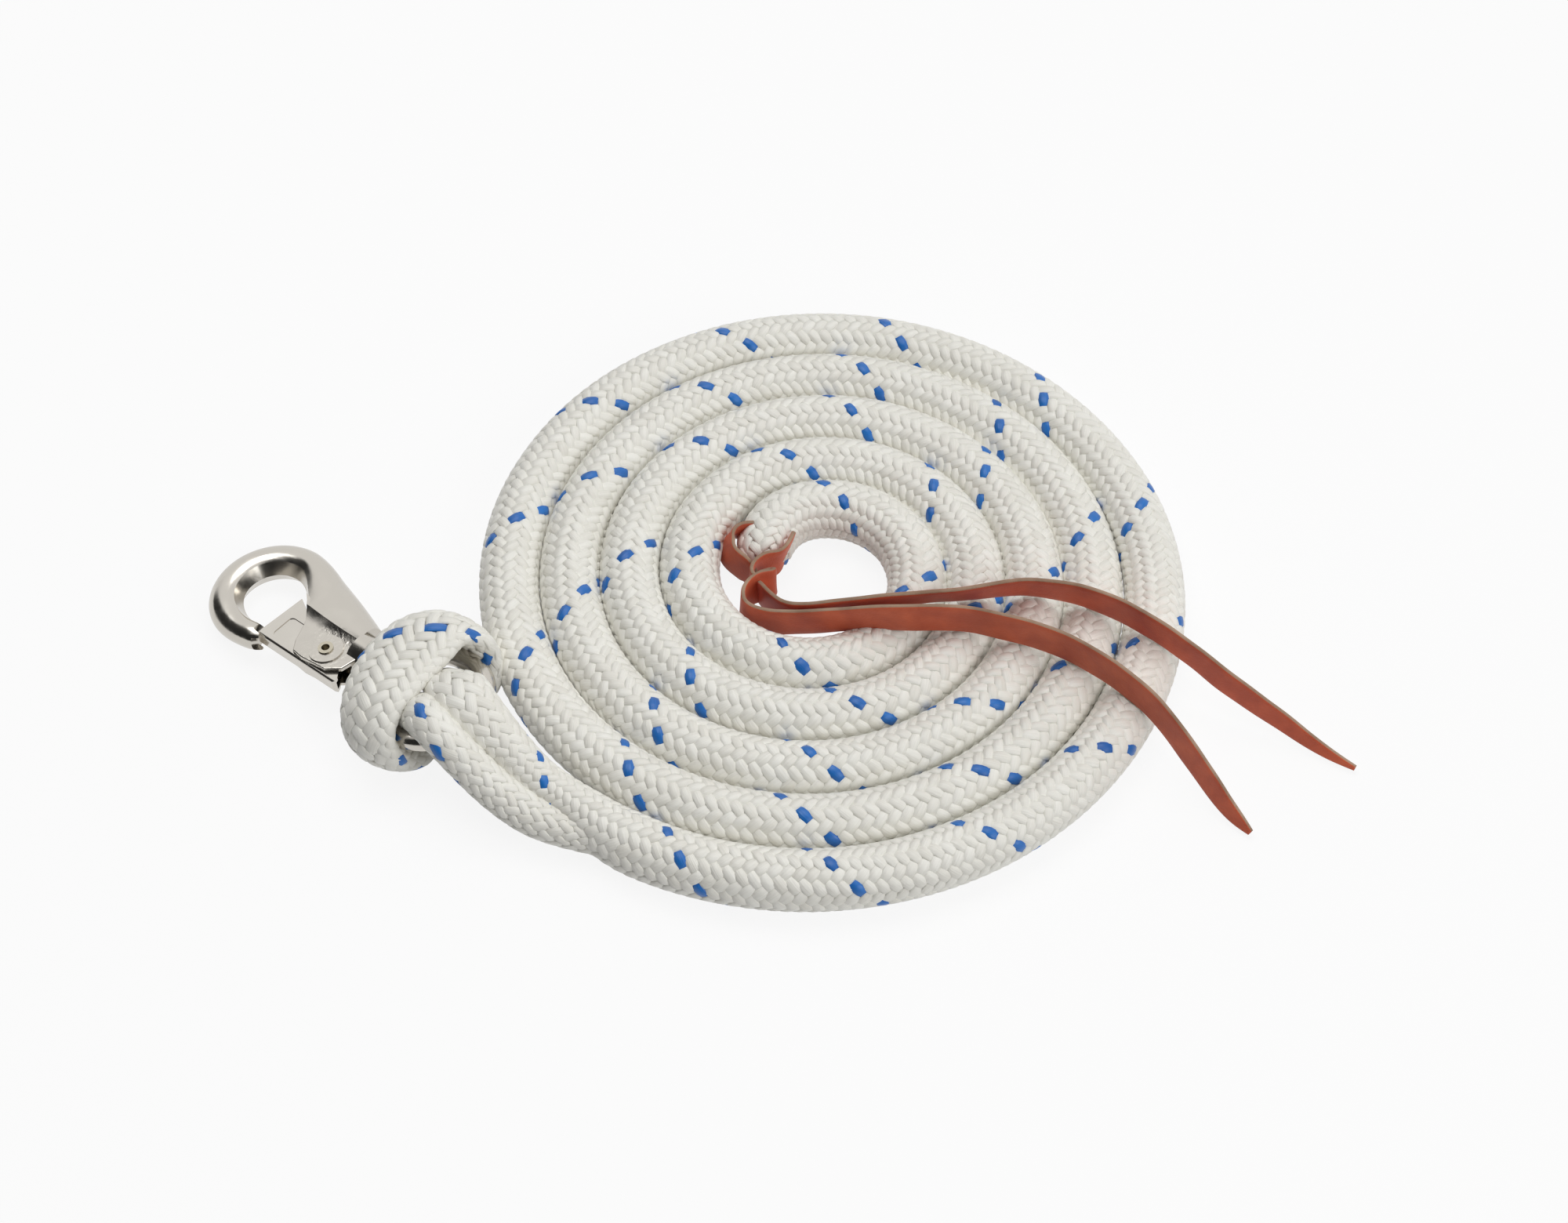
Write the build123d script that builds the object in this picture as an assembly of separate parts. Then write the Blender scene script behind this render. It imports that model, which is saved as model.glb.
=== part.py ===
from build123d import *
import os
from math import cos, hypot, pi, radians, sin, tan

os.makedirs("parts", exist_ok=True)

# Lead rope, 8 ft of 3/4 in braid, with a swivel bull snap and a leather popper.
# Millimetres, +Z up. The rope lies flat in a spiral; the snap is at -X.

# ---- rope ----
ROPE_D = 19.0             # braided rope
TURN_PITCH = 19.1         # from one turn of the coil to the next
COIL_R = 115.5            # centreline radius where the coil starts
COIL_START = 225.0        # direction of the coil's throat, degrees from +X
COIL_QUARTERS = 19        # quarter turns, counter-clockwise and inward
COIL_EDGE = 7.5           # rounding of the coil's top and bottom edges
COIL_CENTRE = (13.5, 4.8)
EYE_D = 13.0              # the spliced eye, drawn tight and flattened

# ---- swivel bull snap, in its own frame: X along the snap, Y across, Z through the plates ----
SNAP_AT = (-93.8, 73.2, 8.2)    # middle of the hook, from the coil's throat
SNAP_AZIMUTH = -41.2
SNAP_TILT = 8.0                 # the ring end rests higher, on the rope
HOOK_CENTRE = (-0.9, -0.5)
BAR_R = 5.5                     # the hook's bar at the crown
HOOK_BAR = [(304.0, 17.0, 3.9), (282.0, 16.1, 4.6), (258.0, 15.8, 5.1), (234.0, 15.8, BAR_R),
            (210.0, 15.8, BAR_R), (186.0, 15.8, BAR_R), (162.0, 15.8, BAR_R),
            (138.0, 15.8, BAR_R), (114.0, 15.8, BAR_R), (90.0, 15.8, BAR_R)]
SHANK_T = 12.0                  # shank, through the plates
SHANK_LOW_Y = 0.6               # its underside, which the spring pushes on
NECK = [(3.5, 10.5, 20.3), (7.5, 7.8, 19.4), (11.5, 4.6, 18.2), (15.5, SHANK_LOW_Y + 0.6, 17.0)]
SHANK = [(27.5, SHANK_LOW_Y, 13.6), (39.5, SHANK_LOW_Y, 9.6)]
# the hook's rows: angle, centreline radius, bar radius; the shank's: along, breast, back
SLOT_W = 5.6                    # channel between the ears
SLOT_TAIL = 43.2                # it is open to the back as far as this
SLOT_STEP = (38.5, -2.6)        # and slopes past the swivel's head room
EAR_T = 1.4
EAR_EDGE = 0.4                  # rounding of the ears' outlines
EAR_LINE = [(16.0, 3.0), (10.6, 4.6), (13.0, 2.6), (15.5, 0.0), (18.0, -3.0), (19.8, -7.0), (21.5, -11.0),
            (24.0, -14.4), (28.0, -14.8), (38.0, -13.9), (42.5, -10.5), (43.6, -5.0), (43.6, 3.0)]
RAMP_END_Y = -5.2               # hollow ramp from the shank down to the ear
BOSS_R = 5.7
BOSS_H = 0.5
COLLAR_R = 6.7                  # round collar that holds the swivel
COLLAR_END = 48.9               # its end face, along the snap
COLLAR_L = 9.5
PIVOT = (32.6, -7.8)            # gate rivet

# ---- gate ----
GATE_END = 24.9                 # from the rivet to the free end's straight edge
GATE_W = 5.2
GATE_SHEET = 1.1
GATE_BEND = 1.0                 # outer radius of the bends
GATE_WEB_Y = -15.4              # outer face of the web
GATE_LINE = [(42.4, GATE_WEB_Y), (43.6, GATE_WEB_Y + 0.8), (43.0, GATE_WEB_Y + 2.2),
             (37.2, -5.6), (34.4, -3.6), (29.5, -3.8), (22.0, -3.0), (8.9, 3.4)]
                                # edge of its side plates, from the tail to the free end
SLOT_FROM = 125.0               # direction of the slot's end wall from the rivet
GATE_GAP = 0.4                  # between the free end and the nose
PANEL = (8.0, 9.0, 1.6)         # pressed panel: along, across, corner radius
PANEL_AT = (16.0, -8.4)
PANEL_DEEP = 0.3
RIVET_R = 1.9
RIVET_HEAD_R = 2.5
RIVET_HEAD_H = 0.5
RIVET_BORE = 1.35
PIN_FIT = 0.08                  # radial running fit on the rivet and the swivel's stud
SPRING_R = 3.1
SPRING_WIRE = 0.7
WEB_LEG = 195.0                 # directions of the spring's legs
SHANK_LEG = 126.0

# ---- swivel eye ----
RING_R = 17.8                   # centreline of the ring
RING_BAR_R = 3.4
SHOULDER_L = 3.8                # collar to the middle of the ring's bar
STUD_R = 2.7
HEAD_R = 3.9
HEAD_H = 2.4
SEAT_T = 3.2                    # collar wall that the head bears on
END_PLAY = 0.15
SHOULDER_R = 5.2

# ---- leather popper ----
STRAP_W = 13.0
STRAP_T = 2.0
STRAP_LIFT = 0.4                # above the rope it lies on
STRAP_TOP = ROPE_D + STRAP_LIFT
FRONT_ROUTE = [(-10.0, 10.5), (-20.5, 16.5), (-27.0, 12.0), (-29.0, 3.0), (-26.5, -6.0),
               (-20.5, -15.5), (-8.0, -22.0), (15.0, -26.0), (45.0, -28.5), (72.0, -36.0),
               (95.0, -52.0), (115.0, -72.0), (133.0, -91.0)]
FRONT_EDGES = [(-33.0, 3.5, STRAP_W), (-22.0, 4.5, STRAP_W), (-8.0, 9.5, STRAP_W),
               (8.0, 16.0, STRAP_W), (16.0, STRAP_TOP, STRAP_W), (60.0, STRAP_TOP, STRAP_W),
               (98.0, STRAP_TOP, 11.6), (112.0, 13.0, 11.0), (124.0, 5.0, 8.0), (134.0, 1.0, 2.0)]
BACK_ROUTE = [(-15.0, 13.5), (-8.5, 9.0), (-13.5, 2.5), (-18.0, -3.0), (-15.5, -11.0),
              (-3.0, -17.5), (18.0, -20.5), (42.0, -17.5), (65.0, -15.5), (87.0, -20.5),
              (106.0, -32.0), (126.0, -43.5), (147.0, -54.0), (168.0, -67.0)]
BACK_EDGES = [(-20.0, 3.5, STRAP_W), (-12.0, 5.0, STRAP_W), (0.0, 12.0, STRAP_W),
              (12.0, STRAP_TOP, STRAP_W), (80.0, STRAP_TOP, STRAP_W),
              (107.0, STRAP_TOP, 11.6), (118.0, 15.0, 11.0), (130.0, 8.0, 10.0),
              (146.0, 4.0, 7.0), (169.0, 1.0, 2.0)]
# routes are in plan; edges are along X: height of the lower edge, width of the strap there


def coil_arcs(first, last, side):
    """Tangent quarter arcs about a stepping centre: radius drops a quarter pitch each."""
    centre = Vector(0, 0)
    arcs = []
    for quarter in range(last):
        angle = COIL_START + 90 * quarter
        radius = COIL_R - TURN_PITCH * (quarter + 0.5) / 4 + side
        if quarter >= first:
            arcs.append(CenterArc(centre, radius, angle, 90))
        turn = radians(angle + 90)
        centre = centre + Vector(cos(turn), sin(turn)) * (TURN_PITCH / 4)
    return arcs


def coil_outline(first, last, side):
    arcs = coil_arcs(first, last, side)
    step = Line(arcs[-1] @ 1, arcs[0] @ 0)
    return make_face(arcs + [step])


def coil_throat():
    """Where the rope leaves the coil for the eye."""
    return tuple(coil_arcs(0, 1, 0)[0] @ 0)


def rope_coil():
    """Closed outer shape of the flat spiral, open in the middle, with a step at each rope end."""
    outer = coil_outline(0, 4, ROPE_D / 2)
    inner = coil_outline(COIL_QUARTERS - 4, COIL_QUARTERS, -ROPE_D / 2)
    disc = extrude(outer - inner, ROPE_D)
    rims = disc.edges().filter_by(GeomType.CIRCLE)
    rims = rims.filter_by(lambda e: abs(e.center().Z - ROPE_D / 2) > ROPE_D / 4)
    return fillet(rims, COIL_EDGE)


def corner_radii(points):
    """Arc for each corner: as large as its two runs allow."""
    radii = []
    for before, at, after in zip(points, points[1:], points[2:]):
        a = Vector(at) - Vector(before)
        b = Vector(after) - Vector(at)
        half = radians(a.get_angle(b)) / 2
        radii.append(0.45 * min(a.length, b.length) / tan(half))
    return radii


def rope_tube(name, points, diameter):
    radii = corner_radii(points)
    path = FilletPolyline(*points, radius=radii)
    section = Plane(origin=path @ 0, z_dir=path % 0) * Circle(diameter / 2)
    tube = sweep(section, path=path)
    solid = pi * diameter**2 / 4 * path.length
    print(name, "radii", [round(r, 1) for r in radii], "length", round(path.length, 1))
    print(name, "volume ratio", round(tube.volume / solid, 4))
    return tube


def between(a, b):
    return tuple((p + q) / 2 for p, q in zip(a, b))


# The eye is girth-hitched: up over the ring, down through it, out under the ring's sides and
# back over the snap's collar. Points are from the coil's throat.
FAR_LEG = [
    (2.5, -8.0, 9.6), (-6.2, -4.0, 14.5), (-12.7, 0.7, 20.0), (-19.3, 8.4, 26.5),
    (-25.3, 17.5, 30.8), (-31.8, 27.0, 26.5), (-34.8, 32.5, 15.0), (-31.0, 41.5, 7.4),
    (-24.0, 51.0, 7.4), (-21.5, 58.0, 14.5), (-27.5, 58.5, 23.5),
]
BIGHT = [(-38.5, 51.5, 29.5), (-50.0, 40.0, 31.5), (-58.5, 27.5, 30.5)]
NEAR_LEG = [
    (-64.0, 16.0, 24.0), (-64.0, 8.0, 15.0), (-59.0, 5.5, 7.4), (-50.0, 11.5, 7.4),
    (-42.5, 19.0, 14.0), (-40.5, 15.5, 26.0), (-36.0, 7.0, 30.8), (-30.9, -1.2, 26.5),
    (-24.5, -7.0, 20.0), (-17.5, -11.8, 14.5), (-7.5, -13.6, 10.2), (2.5, -14.8, 9.5),
    (11.0, -18.6, 9.5),
]


def snap_frame():
    azimuth = radians(SNAP_AZIMUTH)
    tilt = radians(SNAP_TILT)
    along = Vector(cos(tilt) * cos(azimuth), cos(tilt) * sin(azimuth), sin(tilt))
    across = Vector(-sin(azimuth), cos(azimuth), 0)
    return Plane(origin=SNAP_AT, x_dir=along, z_dir=along.cross(across))


def plate(points, low, high):
    """Outline in the snap's plane, extruded from low to high."""
    face = make_face(Polyline(*points, close=True))
    return Pos(0, 0, low) * extrude(face, high - low)


def pivot_disc(radius, height):
    return Pos(PIVOT[0], PIVOT[1], 0) * Cylinder(radius, height)


def along_bar(start, end, radius, radius_end=None):
    """Round bar on the snap's axis."""
    turn = Rot(0, 90, 0)
    where = Pos((start + end) / 2, 0, 0)
    if radius_end is None:
        return where * turn * Cylinder(radius, end - start)
    return where * turn * Cone(radius, radius_end, end - start)


def casting_section(plane, inner, outer, half, edge, ridge):
    """Section of the casting: round outside, and inside two flats that meet in a ridge."""
    crown = inner + 0.39 * (outer - inner)
    upper = [(inner, edge)]
    for angle in (90, 60, 30):
        upper.append((crown + (outer - crown) * cos(radians(angle)), half * sin(radians(angle))))
    lower = [(x, -z) for x, z in reversed(upper)]
    outside = Spline(*upper, (outer, 0.0), *lower)
    flats = Polyline(lower[-1], (inner - ridge, 0.0), upper[0])
    return plane * make_face([outside, flats])


def hook_section(angle, radius, bar):
    out = Vector(cos(radians(angle)), sin(radians(angle)), 0)
    plane = Plane(origin=(*HOOK_CENTRE, 0), x_dir=out, z_dir=out.cross(Vector(0, 0, 1)))
    inner = radius - 0.64 * bar
    return casting_section(plane, inner, radius + bar, bar, 0.77 * bar, 0.4 * bar)


def shank_section(x, breast, back):
    plane = Plane(origin=(x, 0, 0), x_dir=(0, 1, 0), z_dir=(1, 0, 0))
    share = min(1.0, (x - HOOK_CENTRE[0]) / (NECK[-1][0] - HOOK_CENTRE[0]))
    half = BAR_R + (SHANK_T / 2 - BAR_R) * share
    edge = half * (0.77 + 0.17 * share)
    ridge = 0.4 * BAR_R * (1 - share) + 0.15
    return casting_section(plane, breast, back, half, edge, ridge)


def hook_and_shank():
    """One casting: from the nose round the hook, then down the shank to the collar."""
    hook = [hook_section(*row) for row in HOOK_BAR]
    neck = [hook[-1]] + [shank_section(*row) for row in NECK]
    shank = [neck[-1]] + [shank_section(*row) for row in SHANK]
    return loft(hook) + loft(neck) + loft(shank)


def gate_corner_reach():
    """From the rivet to the gate's farther end corner."""
    corners = [(PIVOT[0] - GATE_END, GATE_WEB_Y), GATE_LINE[-1]]
    return max(hypot(x - PIVOT[0], y - PIVOT[1]) for x, y in corners)


def ears():
    """Both ears, with the hollow ramp that runs up from each to the shank's edge."""
    low = SLOT_W / 2 + EAR_T
    top = SHANK_T / 2 * 0.93
    ramp_top = SHANK_LOW_Y + 0.6
    foot = min(y for x, y in EAR_LINE) - EAR_T
    head = max(y for x, y in EAR_LINE) + EAR_T
    ramp = Spline((ramp_top, top), (SHANK_LOW_Y - 1.8, low + 0.5), (RAMP_END_Y, low))
    rest = Polyline((RAMP_END_Y, low), (foot, low), (foot, 0), (head, 0), (head, top), (ramp_top, top))
    half = make_face([ramp, rest])
    section = half + mirror(half, Plane.XZ)
    block = extrude(Plane.YZ * section, COLLAR_END) & plate(EAR_LINE, -SHANK_T, SHANK_T)
    rims = block.edges().filter_by(
        lambda e: abs(abs(e.center().Z) - low) < 0.01 and e.center().Y < RAMP_END_Y - 0.01)
    return fillet(rims, EAR_EDGE)


def snap_body():
    body = hook_and_shank() + ears()
    inner = SLOT_W / 2
    body += pivot_disc(BOSS_R, SLOT_W + 2 * (EAR_T + BOSS_H))
    body += along_bar(COLLAR_END - COLLAR_L, COLLAR_END, COLLAR_R)
    body -= along_bar(COLLAR_END - SEAT_T, COLLAR_END, STUD_R + PIN_FIT)
    head_room = COLLAR_END - SEAT_T - HEAD_H - 2 * END_PLAY
    body -= along_bar(head_room, COLLAR_END - SEAT_T, HEAD_R + PIN_FIT)
    # channel that the gate swings in, cut about the rivet; it stops short of the back wall
    reach = gate_corner_reach() + GATE_GAP
    fan = [(0, 0)]
    for angle in (SLOT_FROM, 145, 165, 185, 205, 225, 245, 270, 295, 320):
        fan.append((2 * reach * cos(radians(angle)), 2 * reach * sin(radians(angle))))
    wedge = Pos(PIVOT[0], PIVOT[1], 0) * plate(fan, -inner, inner)
    body -= wedge & pivot_disc(reach, SLOT_W)
    body -= pivot_disc(RIVET_R + PIN_FIT, 2 * SHANK_T)
    back = COLLAR_END - COLLAR_L
    under_collar = -COLLAR_R - GATE_GAP
    body -= plate([
        (PIVOT[0] - 2 * BOSS_R, -reach), (PIVOT[0] - 2 * BOSS_R, SHANK_LOW_Y),
        (SLOT_STEP[0], SHANK_LOW_Y), (back, SLOT_STEP[1]), (back, under_collar),
        (SLOT_TAIL, under_collar), (SLOT_TAIL, -reach),
    ], -inner, inner)
    # the nose stops short of the gate's free end, all but the lip under the web
    lip_y = GATE_WEB_Y - GATE_GAP
    neck = NECK[-1][0]
    nose_cut = plate([(0, lip_y), (0, 0), (neck, 0), (neck, lip_y)], -SHANK_T, SHANK_T)
    body -= nose_cut & pivot_disc(reach, 2 * SHANK_T)
    return body


def gate_lever():
    """Channel bent from sheet: a web below, a plate on each side, open toward the shank."""
    half = GATE_W / 2
    lever = plate([(PIVOT[0] - GATE_END, GATE_WEB_Y), *GATE_LINE], -half, half)
    bends = lever.edges().filter_by(Axis.X).filter_by(
        lambda e: abs(e.center().Y - GATE_WEB_Y) < 0.01)
    lever = fillet(bends, GATE_BEND)
    room = half - GATE_SHEET
    floor = GATE_WEB_Y + GATE_SHEET
    top = GATE_LINE[-1][1] + GATE_SHEET
    tail = COLLAR_END
    lever -= plate([(0, floor), (0, top), (tail, top), (tail, floor)], -room, room)
    lever -= pivot_disc(RIVET_R + PIN_FIT, GATE_W)
    panel = RectangleRounded(*PANEL)
    for side in (-1, 1):
        at = Pos(*PANEL_AT, side * (half - PANEL_DEEP / 2))
        lever -= at * extrude(panel, PANEL_DEEP / 2, both=True)
    return lever


def gate_rivet():
    """Tubular rivet rolled over both ears."""
    grip = SLOT_W + 2 * (EAR_T + BOSS_H)
    rivet = pivot_disc(RIVET_R, grip + 2 * RIVET_HEAD_H)
    for side in (-1, 1):
        head = pivot_disc(RIVET_HEAD_R, RIVET_HEAD_H)
        rivet += Pos(0, 0, side * (grip + RIVET_HEAD_H) / 2) * head
    return rivet - pivot_disc(RIVET_BORE, 2 * grip)


def gate_spring():
    """Torsion spring round the rivet, one leg on the gate's web, one under the shank."""
    turns = 2 + (SHANK_LEG - WEB_LEG + 180) / 360
    pitch = SPRING_WIRE * 1.12
    height = pitch * turns
    wire = SPRING_WIRE / 2
    coil = Helix(pitch=pitch, height=height, radius=SPRING_R)
    section = Plane(origin=coil @ 0, z_dir=coil % 0) * Circle(wire)
    spring = sweep(section, path=coil)
    # a leg leaves along the coil's tangent, a quarter turn from the radius it leaves at
    start = radians(WEB_LEG - 270)
    finish = radians(SHANK_LEG - 90)
    down = PIVOT[1] + SPRING_R * sin(start) - (GATE_WEB_Y + GATE_SHEET + wire)
    up = SHANK_LOW_Y - wire - (PIVOT[1] + SPRING_R * sin(finish))
    web_leg = down / -sin(radians(WEB_LEG))
    shank_leg = up / sin(radians(SHANK_LEG))
    ends = ((coil @ 0, coil % 0 * -1, web_leg), (coil @ 1, coil % 1, shank_leg))
    for point, way, length in ends:
        flat = Vector(way.X, way.Y, 0).normalized()
        spring += Plane(origin=point - flat * wire, z_dir=flat) * extrude(Circle(wire), length)
    turned = Rot(0, 0, WEB_LEG - 270) * Pos(0, 0, -height / 2) * spring
    return Pos(PIVOT[0], PIVOT[1], 0) * turned


def swivel_eye():
    """Ring with a shouldered stud, peened over inside the collar."""
    near_side = COLLAR_END + SHOULDER_L
    ring = Pos(near_side + RING_R, 0, 0) * Torus(RING_R, RING_BAR_R)
    face = COLLAR_END + END_PLAY
    eye = ring + along_bar(face, near_side, SHOULDER_R, SHOULDER_R - 0.8)
    seat = COLLAR_END - SEAT_T - END_PLAY
    eye += along_bar(seat, face + 1.0, STUD_R)
    eye += along_bar(seat - HEAD_H, seat, HEAD_R - 0.6, HEAD_R)
    return eye


def ribbon(points, edges):
    """Strap standing on edge along a plan route, between the edges seen from the side."""
    path = FilletPolyline(*points, radius=corner_radii(points))
    tall = STRAP_TOP + 2 * STRAP_W
    side = (path % 0).cross(Vector(0, 0, 1))
    start = Plane(origin=path @ 0, x_dir=side, z_dir=path % 0)
    band = sweep(start * Rectangle(STRAP_T, 2 * tall), path=path)
    low = [(x, z) for x, z, wide in edges]
    high = [(x, z + wide) for x, z, wide in reversed(edges)]
    shape = make_face(Polyline(*low, *high, close=True))
    return band & (Plane.XZ * extrude(shape, 2 * COIL_R, both=True))


def popper_strap():
    """One strip through the rope's end; its ends cross and trail over the coil."""
    return ribbon(FRONT_ROUTE, FRONT_EDGES) + ribbon(BACK_ROUTE, BACK_EDGES)


def export(name, shape):
    solids = shape.solids()
    print(name, "solids", len(solids), "volume", round(shape.volume, 1))
    export_step(shape if len(solids) > 1 else solids[0], f"parts/{name}.step")


def main():
    centre = Pos(*COIL_CENTRE, 0)
    throat = centre * Pos(*coil_throat())
    snap = throat * snap_frame().location
    far_end = between(FAR_LEG[-1], BIGHT[0])
    near_end = between(BIGHT[-1], NEAR_LEG[0])
    export("rope_coil", centre * rope_coil())
    far_leg = rope_tube("rope_far_leg", FAR_LEG + [far_end], EYE_D)
    bight = rope_tube("rope_bight", [far_end] + BIGHT + [near_end], EYE_D)
    near_leg = rope_tube("rope_near_leg", [near_end] + NEAR_LEG, EYE_D)
    export("rope_far_leg", throat * far_leg)
    export("rope_bight", throat * bight)
    export("rope_near_leg", throat * near_leg)
    export("popper_strap", centre * popper_strap())
    export("snap_body", snap * snap_body())
    export("gate_lever", snap * gate_lever())
    export("gate_rivet", snap * gate_rivet())
    export("gate_spring", snap * gate_spring())
    export("swivel_eye", snap * swivel_eye())


main()
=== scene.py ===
import math

import bmesh
import bpy
import numpy as np
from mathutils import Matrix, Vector


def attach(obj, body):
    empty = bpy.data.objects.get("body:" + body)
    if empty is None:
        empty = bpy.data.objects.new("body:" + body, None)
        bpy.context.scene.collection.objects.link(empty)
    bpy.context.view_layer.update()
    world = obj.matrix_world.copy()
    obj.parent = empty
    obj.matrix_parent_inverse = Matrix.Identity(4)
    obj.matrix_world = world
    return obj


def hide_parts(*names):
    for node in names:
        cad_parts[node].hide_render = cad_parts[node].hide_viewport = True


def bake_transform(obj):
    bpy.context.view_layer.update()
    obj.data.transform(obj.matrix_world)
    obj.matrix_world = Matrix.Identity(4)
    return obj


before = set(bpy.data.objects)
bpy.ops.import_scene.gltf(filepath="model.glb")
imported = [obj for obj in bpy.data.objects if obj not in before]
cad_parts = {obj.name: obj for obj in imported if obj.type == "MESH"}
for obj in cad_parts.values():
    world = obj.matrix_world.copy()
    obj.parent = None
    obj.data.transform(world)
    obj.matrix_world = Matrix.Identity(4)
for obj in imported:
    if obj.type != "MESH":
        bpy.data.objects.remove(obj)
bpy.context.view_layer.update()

COIL_CENTRE = (0.0135, 0.0048)


# ---------------------------------------------------------------- helpers
def put(name, data):
    """Object at the origin that shows this mesh, curve, lamp or camera."""
    obj = bpy.data.objects.new(name, data)
    bpy.context.collection.objects.link(obj)
    return obj


def feed(links, socket, value):
    """Links a socket to another one, or gives it a plain value."""
    if isinstance(value, bpy.types.NodeSocket):
        links.new(value, socket)
    else:
        socket.default_value = value


def math_node(nodes, links, operation, *values):
    """Output of a Math node with these inputs."""
    node = nodes.new("ShaderNodeMath")
    node.operation = operation
    for socket, value in zip(node.inputs, values):
        feed(links, socket, value)
    return node.outputs[0]


def map_range(nodes, links, value, source, target=(0.0, 1.0), interpolation="LINEAR"):
    """Output of a Map Range node from the source's ends to the target's ends."""
    node = nodes.new("ShaderNodeMapRange")
    node.interpolation_type = interpolation
    node.inputs["From Min"].default_value, node.inputs["From Max"].default_value = source
    node.inputs["To Min"].default_value, node.inputs["To Max"].default_value = target
    links.new(value, node.inputs["Value"])
    return node.outputs[0]


# ---------------------------------------------------------------- camera, light and floor
CAMERA_LENS = 79.09           # mm, for a 36 mm sensor
CAMERA_TILT = 37.0            # degrees from straight down
CAMERA_FROM_COIL = (-0.010506, -0.678474, 0.892555)
# name, place, size and watts
LAMPS = [
    ("overhead", (-0.15, 0.35, 1.3), (1.2, 0.9), 9.0),
    ("front right", (0.95, -0.95, 0.9), (0.8, 0.8), 8.0),
]
# sides of the room that reflections find dark: direction, and cosines where it fades in
DARK_SIDES = [
    ((-0.25, -0.88, 0.40), (0.55, 0.80)),
    ((-0.93, 0.05, 0.36), (0.68, 0.82)),
]
DARK_LEVEL = 0.03
ROOM_LIGHT = 0.46             # light that the room gives, where 1 is the white it shows
PAPER_GLOW = 0.88             # share of the floor that shows plain white


def camera():
    data = bpy.data.cameras.new("camera")
    data.lens = CAMERA_LENS
    data.sensor_width = 36
    data.clip_end = 20
    obj = put("camera", data)
    right, back, height = CAMERA_FROM_COIL
    obj.location = (right + COIL_CENTRE[0], back + COIL_CENTRE[1], height)
    obj.rotation_euler = (math.radians(CAMERA_TILT), 0, 0)
    bpy.context.scene.camera = obj


def softbox(name, at, size, watts):
    """Rectangular lamp that points at the origin."""
    data = bpy.data.lights.new(name, "AREA")
    data.shape = "RECTANGLE"
    data.size, data.size_y = size
    data.energy = watts
    obj = put(name, data)
    obj.location = at
    obj.rotation_euler = (-Vector(at)).to_track_quat("-Z", "Y").to_euler()


def seen_directly(nodes, links):
    """1 for the camera, for reflections and through glass, and 0 for the light it gives."""
    path = nodes.new("ShaderNodeLightPath")
    seen = path.outputs["Is Camera Ray"]
    for ray in ("Is Glossy Ray", "Is Transmission Ray"):
        seen = math_node(nodes, links, "MAXIMUM", seen, path.outputs[ray])
    return seen


def room(nodes, links):
    """White walls and ceiling for reflections, with a dark side in front and at the left."""
    place = nodes.new("ShaderNodeTexCoord")
    level = 1.0
    for direction, cosines in DARK_SIDES:
        facing = nodes.new("ShaderNodeVectorMath")
        facing.operation = "DOT_PRODUCT"
        facing.inputs[1].default_value = direction
        links.new(place.outputs["Generated"], facing.inputs[0])
        side = map_range(nodes, links, facing.outputs["Value"], cosines,
                         (1.0, DARK_LEVEL), "SMOOTHSTEP")
        level = math_node(nodes, links, "MINIMUM", level, side)
    path = nodes.new("ShaderNodeLightPath")
    return math_node(nodes, links, "MAXIMUM", level, path.outputs["Is Camera Ray"])


def studio():
    world = bpy.data.worlds.new("studio")
    bpy.context.scene.world = world
    world.use_nodes = True
    nodes, links = world.node_tree.nodes, world.node_tree.links
    backdrop = nodes["Background"]
    links.new(room(nodes, links), backdrop.inputs["Color"])
    seen = seen_directly(nodes, links)
    strength = math_node(nodes, links, "MULTIPLY_ADD", seen, 1 - ROOM_LIGHT, ROOM_LIGHT)
    links.new(strength, backdrop.inputs["Strength"])
    for lamp in LAMPS:
        softbox(*lamp)


def floor():
    """Sheet of white paper that keeps the shadows."""
    bm = bmesh.new()
    bmesh.ops.create_grid(bm, x_segments=1, y_segments=1, size=4)
    mesh = bpy.data.meshes.new("floor")
    bm.to_mesh(mesh)
    bm.free()
    material, nodes, links, paper = new_material("white paper", {
        "Base Color": (0.86, 0.86, 0.86, 1), "Roughness": 0.9, "Specular IOR Level": 0.1})
    glow = nodes.new("ShaderNodeEmission")
    glow.inputs["Strength"].default_value = 1.0
    mix = nodes.new("ShaderNodeMixShader")
    seen = seen_directly(nodes, links)
    links.new(math_node(nodes, links, "MULTIPLY", seen, PAPER_GLOW), mix.inputs[0])
    links.new(paper.outputs[0], mix.inputs[1])
    links.new(glow.outputs[0], mix.inputs[2])
    links.new(mix.outputs[0], nodes["Material Output"].inputs["Surface"])
    mesh.materials.append(material)
    put("floor", mesh)


# ---------------------------------------------------------------- parts of a material
def new_material(name, values):
    """Material whose shader has these values, with its nodes, links and shader."""
    material = bpy.data.materials.new(name)
    material.use_nodes = True
    nodes, links = material.node_tree.nodes, material.node_tree.links
    shader = nodes["Principled BSDF"]
    for socket, value in values.items():
        shader.inputs[socket].default_value = value
    return material, nodes, links, shader


def new_group(name, inputs, outputs):
    """Node group with these sockets, with its nodes, links, entry and exit."""
    group = bpy.data.node_groups.new(name, "ShaderNodeTree")
    for way, sockets in (("INPUT", inputs), ("OUTPUT", outputs)):
        for socket, form in sockets.items():
            group.interface.new_socket(socket, in_out=way, socket_type="NodeSocket" + form)
    nodes, links = group.nodes, group.links
    entry = nodes.new("NodeGroupInput")
    leave = nodes.new("NodeGroupOutput")
    return group, nodes, links, entry.outputs, leave.inputs


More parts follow.
